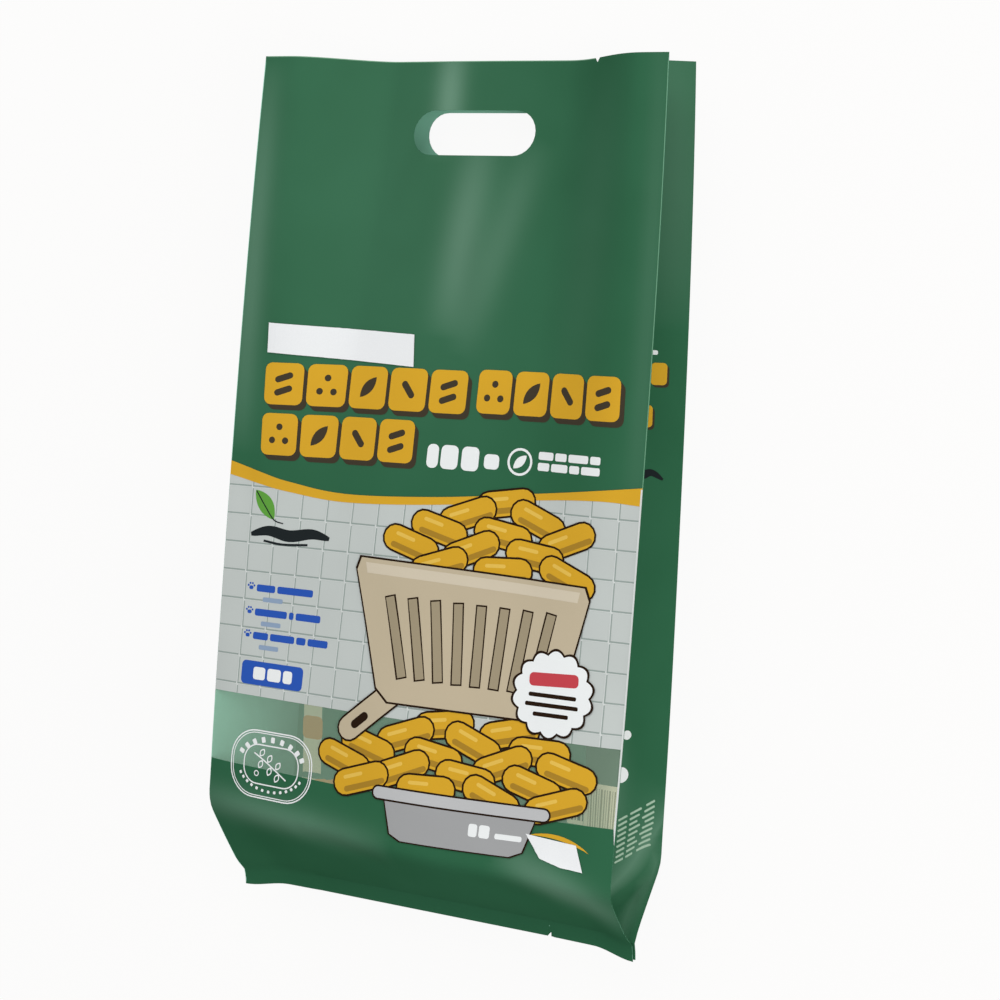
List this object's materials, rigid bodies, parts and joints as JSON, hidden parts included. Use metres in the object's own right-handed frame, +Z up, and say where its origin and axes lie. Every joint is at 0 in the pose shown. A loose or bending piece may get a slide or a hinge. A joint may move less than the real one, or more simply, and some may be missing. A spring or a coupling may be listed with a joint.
{
  "type": "cat litter packaging bag",
  "caption": "Empty side-gusset bag of laminated film with a flat end seal, an open mouth and a die-cut handle hole, lying on its back.",
  "frame": {"origin": "bottom centre of the bounding box, on the surface the bag lies on", "axes": "+X across the bag, +Y along it from the end seal to the open mouth, +Z up through the front panel"},
  "size_m": [0.25, 0.483, 0.0905],
  "materials": {
    "film": "matte-satin printed laminated film",
    "paper": "matte white paper label"
  },
  "bodies": {
    "root": {"bag_film": "film", "label_upper": "paper", "label_lower": "paper"}
  },
  "joints": []
}
